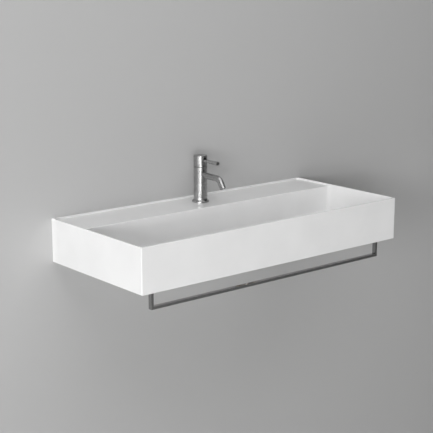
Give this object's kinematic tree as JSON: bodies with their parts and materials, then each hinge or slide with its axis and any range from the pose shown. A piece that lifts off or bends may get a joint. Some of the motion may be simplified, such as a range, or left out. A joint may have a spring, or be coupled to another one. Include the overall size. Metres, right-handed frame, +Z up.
{
  "type": "wall-hung washbasin",
  "caption": "Wide wall-hung rectangular ceramic washbasin with a tap deck, a single-lever mixer tap, an open waste and a square towel rail under the front.",
  "frame": {"origin": "middle of the two wall fixing holes, on the wall plane", "axes": "+X to the right seen from the front, +Y into the wall, +Z up"},
  "size_m": [1, 0.45, 0.3333],
  "materials": {
    "sanitary_glaze": "white gloss glaze over vitreous china",
    "tap_steel": "fine brushed stainless steel with a soft gloss",
    "rail_steel": "satin stainless steel",
    "polished_chrome": "polished chrome plate on brass",
    "zinc_steel": "zinc-plated steel",
    "turned_brass": "turned brass, unplated",
    "black_rubber": "matt moulded rubber",
    "white_plastic": "moulded acetal",
    "grey_plastic": "moulded nylon",
    "black_plastic": "moulded acetal",
    "disc_ceramic": "lapped alumina"
  },
  "bodies": {
    "washbasin": {"basin": "sanitary_glaze", "wall_bushes": "white_plastic", "tap_body": "tap_steel", "base_gasket": "black_rubber", "spout": "tap_steel", "spout_o_ring": "black_rubber", "aerator_housing": "tap_steel", "aerator_insert": "grey_plastic", "fixing_stud": "zinc_steel", "stud_rubber_washer": "black_rubber", "stud_clamp_plate": "zinc_steel", "stud_nut": "turned_brass", "cartridge_base": "white_plastic", "cartridge_seals": "black_rubber", "fixed_disc": "disc_ceramic", "cartridge_housing": "white_plastic", "cartridge_nut": "turned_brass", "glide_ring": "black_plastic", "waste_body": "polished_chrome", "waste_cover": "polished_chrome", "waste_stud": "zinc_steel", "waste_top_seal": "black_rubber", "waste_bottom_seal": "black_rubber", "waste_slip_washer": "white_plastic", "waste_backnut": "turned_brass", "towel_rail": "rail_steel", "rail_pads": "black_rubber", "rail_plugs": "grey_plastic", "rail_screws": "zinc_steel"},
    "handle": {"cartridge_carrier": "grey_plastic", "pivot_pin": "zinc_steel", "cap_insert": "white_plastic", "handle_cap": "tap_steel", "cap_grub_screw": "zinc_steel"},
    "lever_arm": {"lever_stem": "zinc_steel", "lever": "tap_steel"},
    "valve_disc": {"moving_disc": "disc_ceramic"}
  },
  "joints": [
    {"name": "handle_turn", "type": "hinge", "parent": "washbasin", "child": "handle", "pos_m": [0, -0.0783, 0.2023], "axis": [0, 0, 1], "range_deg": [-50, 50]},
    {"name": "lever_lift", "type": "hinge", "parent": "handle", "child": "lever_arm", "pos_m": [0, -0.0783, 0.2023], "axis": [-1, 0, 0], "range_deg": [0, 15]},
    {"name": "disc_slide", "type": "slide", "parent": "handle", "child": "valve_disc", "axis": [0, -1, 0], "range_m": [0, 0.00397]}
  ],
  "couplings": [
    {"joint": "disc_slide", "follows": "lever_lift", "m_per_rad": 0.014957}
  ]
}
